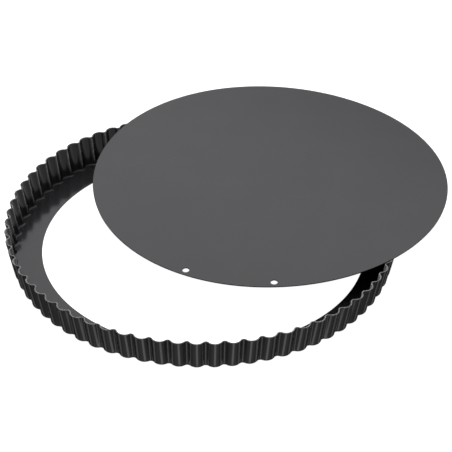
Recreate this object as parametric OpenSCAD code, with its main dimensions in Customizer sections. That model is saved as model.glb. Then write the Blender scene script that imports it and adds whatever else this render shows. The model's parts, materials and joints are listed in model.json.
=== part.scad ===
// Fluted tart pan with a loose base.
// A one-piece pressed ring, with a fluted wall and a flat ledge round a wide hole, and the flat round
// base that sits on the ledge when the pan is used. Here the base lies on the rim, pushed off centre.
// Millimetres. The origin is on the ring's axis, at the underside of its ledge, and +Z is up.

/* [Ring] */
// Diameter of the rim, over the lobes
rim_d = 298.6; // [280:0.2:340]
// Height of the ring
ring_h = 25; // [20:1:40]
// Number of flutes round the wall
flute_count = 71; // [48:1:72]
// Depth of a flute at the rim, from its lobe to its valley
rim_depth = 3.2; // [1.5:0.1:4]
// Depth of a flute where the wall meets the bend
foot_depth = 2.5; // [1.5:0.1:4]
// How far the wall leans out from the bend to the rim
wall_lean = 3.4; // [1:0.1:8]
// Inside radius of the bend between the wall and the ledge
bend_r = 1.7; // [1:0.1:3]
// Thickness of the ring's sheet
ring_t = 0.8; // [0.5:0.1:1.2]
// Diameter of the hole inside the ledge
hole_d = 245; // [150:5:245]

/* [Base] */
// Diameter of the base
base_d = 277; // [180:1:280]
// Thickness of the base's sheet
base_t = 0.8; // [0.5:0.1:1.5]
// Diameter of the two hanging holes
hang_d = 5; // [3:0.5:8]
// Distance from the base's edge to the middle of a hanging hole
hang_inset = 5.3; // [5:0.1:12]
// Distance between the hanging holes
hang_gap = 65.5; // [20:0.5:90]

/* [Where the base lies] */
// Distance of the base's centre from the ring's axis
base_shift = 76.2; // [60:0.1:80]
// Direction of that shift, counted from +X towards +Y
shift_angle = 47.7; // [0:0.1:360]
// Direction of the hanging holes, counted from +X towards +Y
hang_angle = 255.8; // [0:0.1:360]

/* [Hidden] */

coating = "#4a4b4d";
lay_gap = 0.1;            // the base rides this far above the rim, so that two solids never touch
valley_share = 0.27;      // a valley's share of a flute's two arc radii, so lobes are broad and valleys narrow
lobe_steps = 4;           // flat steps along a lobe's arc
valley_steps = 2;         // flat steps along a valley's arc
bend_steps = 2;           // flat steps round the bend
ledge_spare = 4;          // how far the ledge's sheet reaches inside the hole before the hole is cut
cut_spare = 1;            // how far a cutter stands out of what it cuts
fine = 180;

half_t = ring_t / 2;
mid_bend_r = bend_r + half_t;
rim_valley_r = rim_d / 2 - half_t - rim_depth;
foot_valley_r = rim_valley_r - wall_lean;
bend_z = ring_t + bend_r;
wall_tilt = atan2(wall_lean, ring_h - bend_z);
steps = lobe_steps + valley_steps;
columns = flute_count * steps;

// A flute is two arcs that meet on their common tangent: a lobe's, and a valley's.
// These give half a flute's width, the sum of the two radii, and the turn of each half arc.
function half_width(valley_r) = PI * valley_r / flute_count;
function radii_sum(valley_r, depth) = (pow(half_width(valley_r), 2) + depth * depth) / (2 * depth);
function half_turn(valley_r, depth) = asin(half_width(valley_r) / radii_sum(valley_r, depth));

// Point i of a flute's outline, moved outwards by a distance square to it. The steps run over the lobe
// and then through the valley. The result is [distance round from the lobe's middle, distance out].
function flute_point(valley_r, depth, out, i) =
    let (
        w = half_width(valley_r),
        sum = radii_sum(valley_r, depth),
        turn = half_turn(valley_r, depth),
        lobe_r = sum * (1 - valley_share),
        valley_arc_r = sum * valley_share,
        lobe_turn = turn * (2 * i / lobe_steps - 1),
        valley_turn = turn * (1 - 2 * (i - lobe_steps) / valley_steps)
    )
    i <= lobe_steps
        ? [(lobe_r + out) * sin(lobe_turn), depth - lobe_r + (lobe_r + out) * cos(lobe_turn)]
        : [w - (valley_arc_r - out) * sin(valley_turn),
           valley_arc_r - (valley_arc_r - out) * cos(valley_turn)];

// One closed fluted outline at a height. A lobe's middle is on +X.
function outline(valley_r, depth, out, z) = [
    for (k = [0 : columns - 1])
        let (
            p = flute_point(valley_r, depth, out, k % steps),
            turn = 360 / flute_count * (floor(k / steps) + p[0] / half_width(valley_r) / 2),
            r = valley_r + p[1]
        )
        [r * cos(turn), r * sin(turn), z]
];

// A plain round outline with one point a flute, which ends the ledge's sheet inside the hole.
function plain_outline(r, z) = [
    for (k = [0 : flute_count - 1])
        let (turn = 360 / flute_count * k)
        [r * cos(turn), r * sin(turn), z]
];

// An outline on the bend: side is 1 on the outer surface and -1 on the inner one, and tilt is the
// bend's angle, from the wall's own tilt down to 90 degrees at the flat ledge.
function bend_outline(tilt, side) =
    let (r = mid_bend_r + side * half_t)
    outline(
        foot_valley_r,
        foot_depth,
        r * cos(tilt) - mid_bend_r * cos(wall_tilt),
        bend_z - r * sin(tilt)
    );

function bend_tilt(i) = wall_tilt + (90 - wall_tilt) * i / bend_steps;

// Faces between two outlines of the same count, and between a fluted outline and a plain one.
function band(from, to, count) = [
    for (k = [0 : count - 1])
        let (next = (k + 1) % count)
        each [[from + k, to + k, to + next], [from + k, to + next, from + next]]
];
function ledge_band(plain, fluted, top) = [
    for (f = [0 : flute_count - 1])
        let (a = plain + f, b = plain + (f + 1) % flute_count)
        each concat(
            [for (k = [0 : steps - 1])
                let (
                    c = fluted + f * steps + k,
                    d = fluted + (f * steps + k + 1) % columns
                )
                top ? [a, d, c] : [a, c, d]],
            [let (e = fluted + (f + 1) * steps % columns) top ? [a, b, e] : [a, e, b]]
        )
];

module ring() {
    spare_r = hole_d / 2 - ledge_spare;
    // The sheet's outlines in order: ledge underside, outer bend, rim, inner bend, ledge top.
    fluted = concat(
        [for (i = [bend_steps : -1 : 0]) bend_outline(bend_tilt(i), 1)],
        [outline(rim_valley_r, rim_depth, half_t, ring_h)],
        [outline(rim_valley_r, rim_depth, -half_t, ring_h)],
        [for (i = [0 : bend_steps]) bend_outline(bend_tilt(i), -1)]
    );
    last = len(fluted) - 1;
    plain_low = len(fluted) * columns;
    plain_high = plain_low + flute_count;
    points = concat(
        [for (line = fluted) each line],
        plain_outline(spare_r, 0),
        plain_outline(spare_r, ring_t)
    );
    faces = concat(
        [for (i = [0 : last - 1]) each band(i * columns, (i + 1) * columns, columns)],
        ledge_band(plain_low, 0, false),
        ledge_band(plain_high, last * columns, true),
        band(plain_high, plain_low, flute_count)
    );
    color(coating)
        difference() {
            polyhedron(points = points, faces = faces, convexity = 10);
            translate([0, 0, -cut_spare])
                cylinder(d = hole_d, h = ring_t + 2 * cut_spare, $fn = fine);
        }
}

module hanging_holes() {
    hang_r = base_d / 2 - hang_inset;
    half_gap = asin(hang_gap / 2 / hang_r);
    for (side = [-1, 1])
        rotate(hang_angle + side * half_gap)
            translate([hang_r, 0, -cut_spare])
                cylinder(d = hang_d, h = base_t + 2 * cut_spare, $fn = fine);
}

module base() {
    color(coating)
        rotate(shift_angle)
            translate([base_shift, 0, ring_h + lay_gap])
                rotate(-shift_angle)
                    difference() {
                        cylinder(d = base_d, h = base_t, $fn = fine);
                        hanging_holes();
                    }
}

ring();
base();
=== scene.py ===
"""Tart pan: the looks of a pressed fluted ring and its loose base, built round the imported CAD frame."""

import json
import math

import bmesh
import bpy
import numpy as np
from mathutils import Matrix, Vector


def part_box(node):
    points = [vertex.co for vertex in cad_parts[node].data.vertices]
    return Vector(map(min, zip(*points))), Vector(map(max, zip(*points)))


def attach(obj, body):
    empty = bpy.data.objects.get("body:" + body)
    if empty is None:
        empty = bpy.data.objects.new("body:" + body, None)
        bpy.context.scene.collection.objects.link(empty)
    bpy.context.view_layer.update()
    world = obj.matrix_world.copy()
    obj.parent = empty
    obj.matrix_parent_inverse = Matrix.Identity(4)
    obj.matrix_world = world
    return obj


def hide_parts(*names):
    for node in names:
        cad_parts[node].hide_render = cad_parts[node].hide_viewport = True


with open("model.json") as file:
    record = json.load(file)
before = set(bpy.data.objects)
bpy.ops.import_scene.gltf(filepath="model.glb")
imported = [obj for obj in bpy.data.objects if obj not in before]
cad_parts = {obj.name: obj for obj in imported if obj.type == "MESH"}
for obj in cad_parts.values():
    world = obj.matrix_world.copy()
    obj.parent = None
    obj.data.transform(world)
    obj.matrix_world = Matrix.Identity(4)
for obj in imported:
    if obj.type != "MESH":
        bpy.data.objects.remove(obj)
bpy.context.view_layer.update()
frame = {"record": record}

MM = 0.001

# ---------------------------------------------------------------- sizes read from the frame

mounts = {m["name"]: m for m in frame["record"]["mounts"]}
ring_low, ring_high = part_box("ring")
base_low, base_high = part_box("base")

RIM_R = ring_high.x
RING_H = ring_high.z
HOLE_R = mounts["ledge_hole"]["dims"]["r_mm"] * MM
SHEET = mounts["ledge_hole"]["dims"]["length_mm"] * MM
BASE_CENTRE = (base_low + base_high) / 2
BASE_R = (base_high.x - base_low.x) / 2
BASE_T = base_high.z - base_low.z
HANG_HOLES = [mounts["hang_hole_left"], mounts["hang_hole_right"]]

# ---------------------------------------------------------------- the pan's own sizes

FLUTES = 71
RIM_DEPTH = 3.2 * MM               # a flute's depth at the rim
FOOT_DEPTH = 2.5 * MM              # and where the wall meets the bend
WALL_LEAN = 3.4 * MM
BEND_R = 1.7 * MM + SHEET / 2      # to the middle of the sheet
VALLEY_SHARE = 0.27                # a valley arc's share of a flute's two radii
EDGE_R = 0.2 * MM                  # rounding of a cut edge
STRIP = 0.5 * MM                   # narrow flat beside a rounding, so that the rounding shades alone
HOLE_BAND = 10 * MM                # the band by the base's edge that holds the hanging holes

# How far a real, slightly bent pressing stands outside a round one.
WALL_PUSH = -0.6 * MM              # all round
WALL_PUSH_X = -1.1 * MM            # as a shift
WALL_PUSH_Y = -0.2 * MM
WALL_OVAL_X = -0.3 * MM            # as an oval along the axes
WALL_OVAL_Y = -0.4 * MM            # and along the diagonals

# How far a real, slightly bent blank stands above a flat one.
BASE_TILT_X = 0.9 * MM             # at its edge towards +X
BASE_TILT_Y = 1.2 * MM
BASE_TWIST = -3.8 * MM             # twice its rise where a diagonal crosses its edge
BASE_DOME = 1.6 * MM               # at its middle

LOBE_STEPS = 18
VALLEY_STEPS = 12
BEND_STEPS = 8
WALL_STEPS = 6
EDGE_STEPS = 4
LEDGE_STEPS = 5
RIDGE_HIGHLIGHT_STEPS = 3                     # from the crest of an inner ridge to where its painted highlight ends
BASE_EDGE_STEPS = 720
HANG_STEPS = 64
MIDDLE_STEPS = 180
MIDDLE_ROWS = 16

RIM_VALLEY_R = RIM_R - SHEET / 2 - RIM_DEPTH
FOOT_VALLEY_R = RIM_VALLEY_R - WALL_LEAN
BEND_Z = SHEET / 2 + BEND_R
WALL_TILT = math.atan2(WALL_LEAN, RING_H - BEND_Z)


def finished_piece(name, mesh):
    mesh.shade_smooth()
    mesh.update()
    piece = bpy.data.objects.new(name, mesh)
    bpy.context.scene.collection.objects.link(piece)
    return piece


# ---------------------------------------------------------------- ring

def fluted_outline(valley_r, depth, out, z):
    """Points of one closed fluted outline at height z, moved outwards by out, square to itself.

    A flute is two arcs that meet on a common tangent: a broad lobe's and a narrow valley's.
    """
    half_width = math.pi * valley_r / FLUTES
    radii = (half_width**2 + depth**2) / (2 * depth)
    turn = math.asin(half_width / radii)
    lobe_r, valley_arc_r = radii * (1 - VALLEY_SHARE), radii * VALLEY_SHARE
    over = np.linspace(-turn, turn, LOBE_STEPS + 1)
    under = np.linspace(turn, -turn, VALLEY_STEPS + 1)[1:-1]
    along = np.concatenate([
        (lobe_r + out) * np.sin(over),
        half_width - (valley_arc_r - out) * np.sin(under),
    ])
    away = np.concatenate([
        depth - lobe_r + (lobe_r + out) * np.cos(over),
        valley_arc_r - (valley_arc_r - out) * np.cos(under),
    ])
    angle = (np.arange(FLUTES)[:, None] + along / (2 * half_width)).ravel() * 2 * math.pi / FLUTES
    radius = np.tile(valley_r + away, FLUTES)
    return np.column_stack([radius * np.cos(angle), radius * np.sin(angle), np.full_like(angle, z)])


def bend_outline(tilt, side):
    """The bend, from the wall's tilt to a right angle at the ledge; side is 1 outside and -1 inside."""
    r = BEND_R + side * SHEET / 2
    out = r * math.cos(tilt) - BEND_R * math.cos(WALL_TILT)
    return fluted_outline(FOOT_VALLEY_R, FOOT_DEPTH, out, BEND_Z - r * math.sin(tilt))


def wall_outline(height, side):
    """The wall at a share of its height, 0 at the bend and 1 at the rim."""
    foot = bend_outline(WALL_TILT, side)
    rim = fluted_outline(RIM_VALLEY_R, RIM_DEPTH, side * SHEET / 2, RING_H)
    return foot + (rim - foot) * height


def rim_outline(turn, side):
    """The rounded cut edge of the rim, from 0 on the wall's face to a right angle on top."""
    out = SHEET / 2 - EDGE_R + EDGE_R * math.cos(turn)
    below = EDGE_R - EDGE_R * math.sin(turn)
    lean = below * math.tan(WALL_TILT)
    return fluted_outline(RIM_VALLEY_R, RIM_DEPTH, side * out - lean, RING_H - below)


def round_outline(like, radius, z):
    """A plain circle whose points stand at the same angles as another outline's."""
    scale = radius / np.hypot(like[:, 0], like[:, 1])
    return np.column_stack([like[:, 0] * scale, like[:, 1] * scale, np.full(len(like), z)])


def ledge_outlines(bend_end, z):
    """The flat ledge, from beside the bend's fluted end to the plain circle beside the hole's edge."""
    hole_side = round_outline(bend_end, HOLE_R + EDGE_R + STRIP, z)
    shares = np.linspace(0, 1, LEDGE_STEPS + 1)[1:]
    return [bend_end + (hole_side - bend_end) * share for share in shares]


def hole_edge_outlines(like):
    """The hole's rounded cut edge, from the ledge's top round to its underside."""
    lines = []
    for z_centre, start in ((SHEET - EDGE_R, math.pi / 2), (EDGE_R, 0)):
        for turn in np.linspace(start, start - math.pi / 2, EDGE_STEPS + 1):
            r = HOLE_R + EDGE_R - EDGE_R * math.cos(turn)
            lines.append(round_outline(like, r, z_centre + EDGE_R * math.sin(turn)))
    return lines


def out_of_round(points):
    """The ring's points as a thin pressing stands: its hole round, its wall pushed and a little oval."""
    angle, radius = np.arctan2(points[:, 1], points[:, 0]), np.hypot(points[:, 0], points[:, 1])
    push = WALL_PUSH + WALL_PUSH_X * np.cos(angle) + WALL_PUSH_Y * np.sin(angle)
    push += WALL_OVAL_X * np.cos(2 * angle) + WALL_OVAL_Y * np.sin(2 * angle)
    push *= np.clip((radius - HOLE_R) / (FOOT_VALLEY_R - HOLE_R), 0, 1)
    return points + np.column_stack([push * np.cos(angle), push * np.sin(angle), np.zeros_like(push)])


def ridge_painted_highlight(per_line):
    """Painted highlight along one outline inside the wall, where a valley is a ridge: 1 on its crest, 0
    beside it.
    """
    from_crest = np.abs(np.arange(per_line // FLUTES) - LOBE_STEPS - VALLEY_STEPS / 2)
    return np.tile(np.clip(1 - from_crest / RIDGE_HIGHLIGHT_STEPS, 0, 1), FLUTES)


def loop_faces(lines, per_line):
    """Quads between each outline and the next, and from the last back to the first."""
    faces = []
    for i in range(lines):
        here, there = i * per_line, (i + 1) % lines * per_line
        for k in range(per_line):
            n = (k + 1) % per_line
            faces.append((here + k, here + n, there + n, there + k))
    return faces


def make_ring():
    """The ring's sheet as one closed loop of outlines, paler along its cut rim by wear and a painted
    highlight, and along its inner ridges by a painted highlight.
    """
    quarter = np.linspace(0, math.pi / 2, EDGE_STEPS + 1)
    bend = np.linspace(WALL_TILT, math.pi / 2, BEND_STEPS + 1)
    beside_rim = 1 - (EDGE_R + STRIP) / (RING_H - BEND_Z)
    heights = np.append(np.linspace(0, 1, WALL_STEPS + 1)[1:-1], beside_rim)
    under, over = bend_outline(math.pi / 2, 1), bend_outline(math.pi / 2, -1)

    outside = ledge_outlines(under, 0)[::-1]
    outside += [bend_outline(tilt, 1) for tilt in bend[::-1]]
    outside += [wall_outline(height, 1) for height in heights]
    rim = [rim_outline(turn, 1) for turn in quarter]
    rim += [rim_outline(turn, -1) for turn in quarter[::-1]]
    inner_wall = [wall_outline(height, -1) for height in heights[::-1]]
    inner_foot = [bend_outline(tilt, -1) for tilt in bend]
    inner_foot += ledge_outlines(over, SHEET)
    inner_foot += hole_edge_outlines(over)

    lines = outside + rim + inner_wall + inner_foot
    per_line = len(under)
    mesh = bpy.data.meshes.new("fluted_ring")
    mesh.from_pydata(out_of_round(np.concatenate(lines)).tolist(), [], loop_faces(len(lines), per_line))

    # The mask of paler tone: 1 on the rim, partly wear and partly painted highlight; a painted highlight
    # along the inner ridge crests; 0 elsewhere.
    sound, bare_and_sheen = np.zeros(per_line), np.ones(per_line)
    wear_and_sheen = [sound] * len(outside) + [bare_and_sheen] * len(rim)
    wear_and_sheen += [ridge_painted_highlight(per_line)] * len(inner_wall) + [sound] * len(inner_foot)
    values = np.concatenate(wear_and_sheen).astype(np.float32)
    mesh.attributes.new("wear_and_sheen_mask", "FLOAT", "POINT").data.foreach_set("value", values)
    return finished_piece("fluted_ring", mesh)


# ---------------------------------------------------------------- base

def edge_profile():
    """A rounded cut edge from the flat top to the flat underside: pairs of distance in and height."""
    turns = np.linspace(math.pi / 2, 0, EDGE_STEPS + 1)
    top = [(EDGE_R - EDGE_R * math.cos(t), BASE_T - EDGE_R + EDGE_R * math.sin(t)) for t in turns]
    low = [(inwards, BASE_T - height) for inwards, height in top[::-1]]
    return [(EDGE_R + STRIP, BASE_T), *top, *low, (EDGE_R + STRIP, 0)]


def circle_row(bm, centre, radius, height, steps):
    angles = np.linspace(0, 2 * math.pi, steps, endpoint=False)
    return [bm.verts.new((centre.x + radius * math.cos(a), centre.y + radius * math.sin(a), height))
            for a in angles]


def join_rows(bm, rows):
    """Quads between each closed row of vertices and the next."""
    for row, next_row in zip(rows, rows[1:]):
        for k in range(len(row)):
            n = (k + 1) % len(row)
            bm.faces.new((row[k], next_row[k], next_row[n], row[n]))


def add_cut_edge(bm, centre, radius, steps, outside):
    """A cut edge round a circle; outside is 1 on the base's own edge and -1 round a hole."""
    rows = [circle_row(bm, centre, radius - outside * inwards, height, steps)
            for inwards, height in edge_profile()]
    join_rows(bm, rows)
    return rows[0], rows[-1]


def add_middle(bm, height):
    """The sheet's middle as a round net of faces, fine enough to bend; returns its outer row."""
    radii = np.linspace(BASE_R - HOLE_BAND, BASE_R / MIDDLE_ROWS, MIDDLE_ROWS)
    rows = [circle_row(bm, Vector((0, 0)), radius, height, MIDDLE_STEPS) for radius in radii]
    join_rows(bm, rows)
    bm.faces.new(rows[-1])
    return rows[0]


def fill_flat(bm, loops):
    """Fills the flat area between closed rows of vertices."""
    edges = [bm.edges.get((row[k], row[k - 1])) for row in loops for k in range(len(row))]
    bmesh.ops.triangle_fill(bm, use_beauty=True, edges=edges)


def sag(x, y):
    """How far the thin sheet stands above a flat one: a slight tilt, twist and dome."""
    u, v = x / BASE_R, y / BASE_R
    return BASE_TILT_X * u + BASE_TILT_Y * v + BASE_TWIST * u * v + BASE_DOME * (1 - u * u - v * v)


def lift_onto_rim():
    """The lift that brings the bent sheet's lowest point over a round rim to the flat sheet's height."""
    angles = np.linspace(0, 2 * math.pi, BASE_EDGE_STEPS)
    lowest = []
    for r in (RIM_VALLEY_R, RIM_R):
        x, y = r * np.cos(angles) - BASE_CENTRE.x, r * np.sin(angles) - BASE_CENTRE.y
        lowest.append(sag(x, y)[np.hypot(x, y) < BASE_R].min())
    return -min(lowest)


def make_base():
    """A round sheet with two hanging holes, every cut edge rounded, bent a little as thin sheets are."""
    bm = bmesh.new()
    outlines = [(Vector((0, 0)), BASE_R, BASE_EDGE_STEPS, 1)]
    for hole in HANG_HOLES:
        at = Vector(hole["pos_m"]) - BASE_CENTRE
        outlines.append((at.xy, hole["dims"]["r_mm"] * MM, HANG_STEPS, -1))
    tops, lows = zip(*(add_cut_edge(bm, *outline) for outline in outlines))
    fill_flat(bm, [*tops, add_middle(bm, BASE_T)])
    fill_flat(bm, [*lows, add_middle(bm, 0)])
    bmesh.ops.recalc_face_normals(bm, faces=bm.faces)
    lift = lift_onto_rim()
    for vert in bm.verts:
        vert.co.z += lift + sag(vert.co.x, vert.co.y)
    bmesh.ops.translate(bm, verts=bm.verts, vec=(BASE_CENTRE.x, BASE_CENTRE.y, base_low.z))
    mesh = bpy.data.meshes.new("loose_base")
    bm.to_mesh(mesh)
    bm.free()
    return finished_piece("loose_base", mesh)


# ---------------------------------------------------------------- materials

COAT_DARK = (0.0045, 0.0046, 0.0048)
COAT_LIGHT = (0.0055, 0.0056, 0.0059)
COAT_PATCH = 30 * MM               # size of the patches between those two tones
COAT_SHARP = 0.13                  # roughness where it is glossiest
COAT_SOFT = 0.17                   # and where it is dullest
GLOSS_PATCH = 18 * MM
COAT_IOR = 1.15
PEBBLE_SIZE = 0.9 * MM
PEBBLE_HEIGHT = 0.0005 * MM
GRAIN_SIZE = 0.25 * MM
GRAIN_HEIGHT = 0.0002 * MM
# Paler tone of the rim, partly wear and partly painted highlight, and of the painted highlight along the
# inner ridges.
WEAR_SHEEN_DARK = (0.035, 0.035, 0.035)
WEAR_SHEEN_LIGHT = (0.1, 0.1, 0.103)
WEAR_SHEEN_TONE_PATCH = 2 * MM
LEAST_WEAR_SHEEN = 0.35                  # share of the paler wear-and-highlight tone where it is faintest
WEAR_SHEEN_MASK_PATCH = 1.5 * MM
FLOOR_DARK = 0.02
FLOOR_LIGHT = 0.03
FLOOR_PATCH = 400 * MM
FLOOR_ROUGH = 0.12
FLOOR_IOR = 1.5
FLOOR_GLOW = 1.0
RAMP_ENDS = (0.3, 0.7)             # a ramp is at its low value below the first, and high above the other


class Nodes:
    """Short calls for making one material's nodes."""

    def __init__(self, name):
        self.material = bpy.data.materials.new(name)
        self.material.use_nodes = True
        self.tree = self.material.node_tree
        self.shader = self.tree.nodes["Principled BSDF"]
        self.place = self.add("ShaderNodeTexCoord").outputs["Object"]

    def add(self, kind, **values):
        node = self.tree.nodes.new(kind)
        for key, value in values.items():
            setattr(node, key, value)
        return node

    def link(self, source, target):
        self.tree.links.new(source, target)

    def noise(self, feature, detail):
        """Noise with bumps about one feature size across, in metres."""
        node = self.add("ShaderNodeTexNoise")
        node.inputs["Scale"].default_value = 1 / feature
        node.inputs["Detail"].default_value = detail
        self.link(self.place, node.inputs["Vector"])
        return node.outputs["Fac"]

    def ramp(self, factor, low, high):
        """A factor as a colour or a grey, from low to high."""
        node = self.add("ShaderNodeValToRGB")
        for element, place, value in zip(node.color_ramp.elements, RAMP_ENDS, (low, high)):
            element.position = place
            element.color = (*value, 1) if hasattr(value, "__len__") else (value,) * 3 + (1,)
        self.link(factor, node.inputs["Fac"])
        return node.outputs["Color"]

    def mix(self, factor, first, second):
        node = self.add("ShaderNodeMix", data_type="RGBA")
        self.link(factor, node.inputs["Factor"])
        self.link(first, node.inputs["A"])
        self.link(second, node.inputs["B"])
        return node.outputs["Result"]

    def product(self, first, second):
        node = self.add("ShaderNodeMath", operation="MULTIPLY")
        self.link(first, node.inputs[0])
        self.link(second, node.inputs[1])
        return node.outputs["Value"]

    def bump(self, height, distance, after=None):
        node = self.add("ShaderNodeBump")
        node.inputs["Strength"].default_value = 1
        node.inputs["Distance"].default_value = distance
        self.link(height, node.inputs["Height"])
        if after:
            self.link(after, node.inputs["Normal"])
        return node.outputs["Normal"]


def coated_steel(name):
    """Near-black non-stick coating on steel: satin, faintly pebbled, thin and paler at the cut rim from
    wear and a painted highlight, and paler along the inner ridges from a painted highlight.
    """
    n = Nodes(name)
    coat = n.ramp(n.noise(COAT_PATCH, detail=4), COAT_DARK, COAT_LIGHT)
    # Paler tone where the mask is set: wear and a painted highlight on the rim, a painted highlight along
    # the inner ridges.
    bare_and_sheen = n.ramp(n.noise(WEAR_SHEEN_TONE_PATCH, detail=3), WEAR_SHEEN_DARK, WEAR_SHEEN_LIGHT)
    edge = n.add("ShaderNodeAttribute", attribute_name="wear_and_sheen_mask").outputs["Fac"]
    wear_and_sheen = n.product(edge, n.ramp(n.noise(WEAR_SHEEN_MASK_PATCH, detail=4), LEAST_WEAR_SHEEN, 1.0))
    n.link(n.mix(wear_and_sheen, coat, bare_and_sheen), n.shader.inputs["Base Color"])

    cloud = n.ramp(n.noise(GLOSS_PATCH, detail=3), COAT_SHARP, COAT_SOFT)
    n.link(cloud, n.shader.inputs["Roughness"])
    n.shader.inputs["IOR"].default_value = COAT_IOR

    pebble = n.bump(n.noise(PEBBLE_SIZE, detail=2), PEBBLE_HEIGHT)
    grain = n.bump(n.noise(GRAIN_SIZE, detail=2), GRAIN_HEIGHT, after=pebble)
    n.link(grain, n.shader.inputs["Normal"])
    return n.material


def light_table():
    """A white satin sheet lit from below, so that nearly all its tone is its own even glow."""
    n = Nodes("pale_floor")
    tone = n.ramp(n.noise(FLOOR_PATCH, detail=2), FLOOR_DARK, FLOOR_LIGHT)
    n.link(tone, n.shader.inputs["Base Color"])
    n.shader.inputs["Roughness"].default_value = FLOOR_ROUGH
    n.shader.inputs["IOR"].default_value = FLOOR_IOR
    n.shader.inputs["Emission Color"].default_value = (1, 1, 1, 1)
    n.shader.inputs["Emission Strength"].default_value = FLOOR_GLOW
    return n.material


# ---------------------------------------------------------------- stage

FLOOR_CELLS = 8
FLOOR_HALF = 4


def make_floor():
    """The light table, out of sight of glossy rays: the pan shows the low lights instead of its glow."""
    bm = bmesh.new()
    bmesh.ops.create_grid(bm, x_segments=FLOOR_CELLS, y_segments=FLOOR_CELLS, size=FLOOR_HALF)
    mesh = bpy.data.meshes.new("floor")
    bm.to_mesh(mesh)
    bm.free()
    floor = bpy.data.objects.new("floor", mesh)
    bpy.context.scene.collection.objects.link(floor)
    floor.data.materials.append(light_table())
    floor.visible_glossy = False


# ---------------------------------------------------------------- light

LIGHT_TINT = (0.975, 0.978, 1.0)
LIGHT_EVERYWHERE = 0.08

# Soft round lights: azimuth and elevation of the middle, angle from the middle to where the light begins to
# fade and to where it ends, all in degrees, and radiance. Azimuth -90 is the camera's side.
LIGHTS = (
    (0, 90, 112, 128, 4.0),        # all the sky and a pale band below the level of the table
    (0, 90, 91, 101, -3.0),        # takes light away from that sky, and leaves the band
    (90, 69, 0, 50, 9.1),          # softbox high behind, mirrored by the base and the ledge
    (-90, -60, 10, 45, 1.7),       # broad and low in front, the tone of the outer wall
    (-84, -57, 4, 11, 7.0),        # narrow and low, a light line down each lobe: in front,
    (176, -50, 5, 12, 1.7),        # at the left
    (6, -49, 5, 12, 1.7),          # and at the right
)


def aim(azimuth, elevation):
    """A direction by its azimuth and elevation in degrees."""
    a, e = math.radians(azimuth), math.radians(elevation)
    return math.cos(a) * math.cos(e), math.sin(a) * math.cos(e), math.sin(e)


def make_light():
    """The studio as one world: the sum of its soft round lights, over a little light from everywhere."""
    world = bpy.data.worlds.new("studio")
    bpy.context.scene.world = world
    world.use_nodes = True
    world.cycles.sampling_method = "NONE"
    tree = world.node_tree
    sky = tree.nodes["Background"]
    sky.inputs["Color"].default_value = (*LIGHT_TINT, 1)
    direction = tree.nodes.new("ShaderNodeTexCoord").outputs["Generated"]
    total = None
    for azimuth, elevation, full, reach, radiance in LIGHTS:
        facing = tree.nodes.new("ShaderNodeVectorMath")
        facing.operation = "DOT_PRODUCT"
        facing.inputs[1].default_value = aim(azimuth, elevation)
        tree.links.new(direction, facing.inputs[0])
        spread = tree.nodes.new("ShaderNodeMapRange")
        spread.interpolation_type = "SMOOTHSTEP"
        spread.inputs["From Min"].default_value = math.cos(math.radians(reach))
        spread.inputs["From Max"].default_value = math.cos(math.radians(full))
        spread.inputs["To Max"].default_value = radiance
        tree.links.new(facing.outputs["Value"], spread.inputs["Value"])
        light = tree.nodes.new("ShaderNodeMath")
        light.operation = "ADD"
        tree.links.new(spread.outputs["Result"], light.inputs[0])
        if total is None:
            light.inputs[1].default_value = LIGHT_EVERYWHERE
        else:
            tree.links.new(total, light.inputs[1])
        total = light.outputs["Value"]
    tree.links.new(total, sky.inputs["Strength"])


# ---------------------------------------------------------------- camera

SENSOR_MM = 36
LENS_MM = 126.2
CAMERA_TURN = -0.28                # degrees, off the square-on front view
CAMERA_ELEVATION = 35.47
CAMERA_ROLL = 0.52
CAMERA_AWAY = 1194.5 * MM          # from the point that it looks at
AIM_RIGHT = 16.9 * MM              # of the rim's middle, in the picture
AIM_UP = -6.1 * MM


def make_camera():
    """A long lens looking down at the pan, with the ring's rim a little left of and above the middle."""
    camera = bpy.data.cameras.new("camera")
    camera.sensor_width = SENSOR_MM
    camera.lens = LENS_MM
    turn = Matrix.Rotation(math.radians(CAMERA_TURN), 3, "Z")
    tip = Matrix.Rotation(math.radians(90 - CAMERA_ELEVATION), 3, "X")
    roll = Matrix.Rotation(math.radians(CAMERA_ROLL), 3, "Z")
    facing = turn @ tip @ roll
    looks_at = Vector((0, 0, RING_H)) + facing @ Vector((AIM_RIGHT, AIM_UP, 0))
    stands_at = looks_at + facing @ Vector((0, 0, CAMERA_AWAY))
    seen_from = bpy.data.objects.new("camera", camera)
    seen_from.matrix_world = Matrix.Translation(stands_at) @ facing.to_4x4()
    bpy.context.scene.collection.objects.link(seen_from)
    bpy.context.scene.camera = seen_from
    bpy.context.scene.view_settings.view_transform = "Standard"


# ---------------------------------------------------------------- the scene

make_camera()
make_light()
make_floor()

ring = make_ring()
ring.data.materials.append(coated_steel("ring_coating"))
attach(ring, "ring")
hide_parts("ring")

base = make_base()
base.data.materials.append(coated_steel("base_coating"))
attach(base, "base")
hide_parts("base")
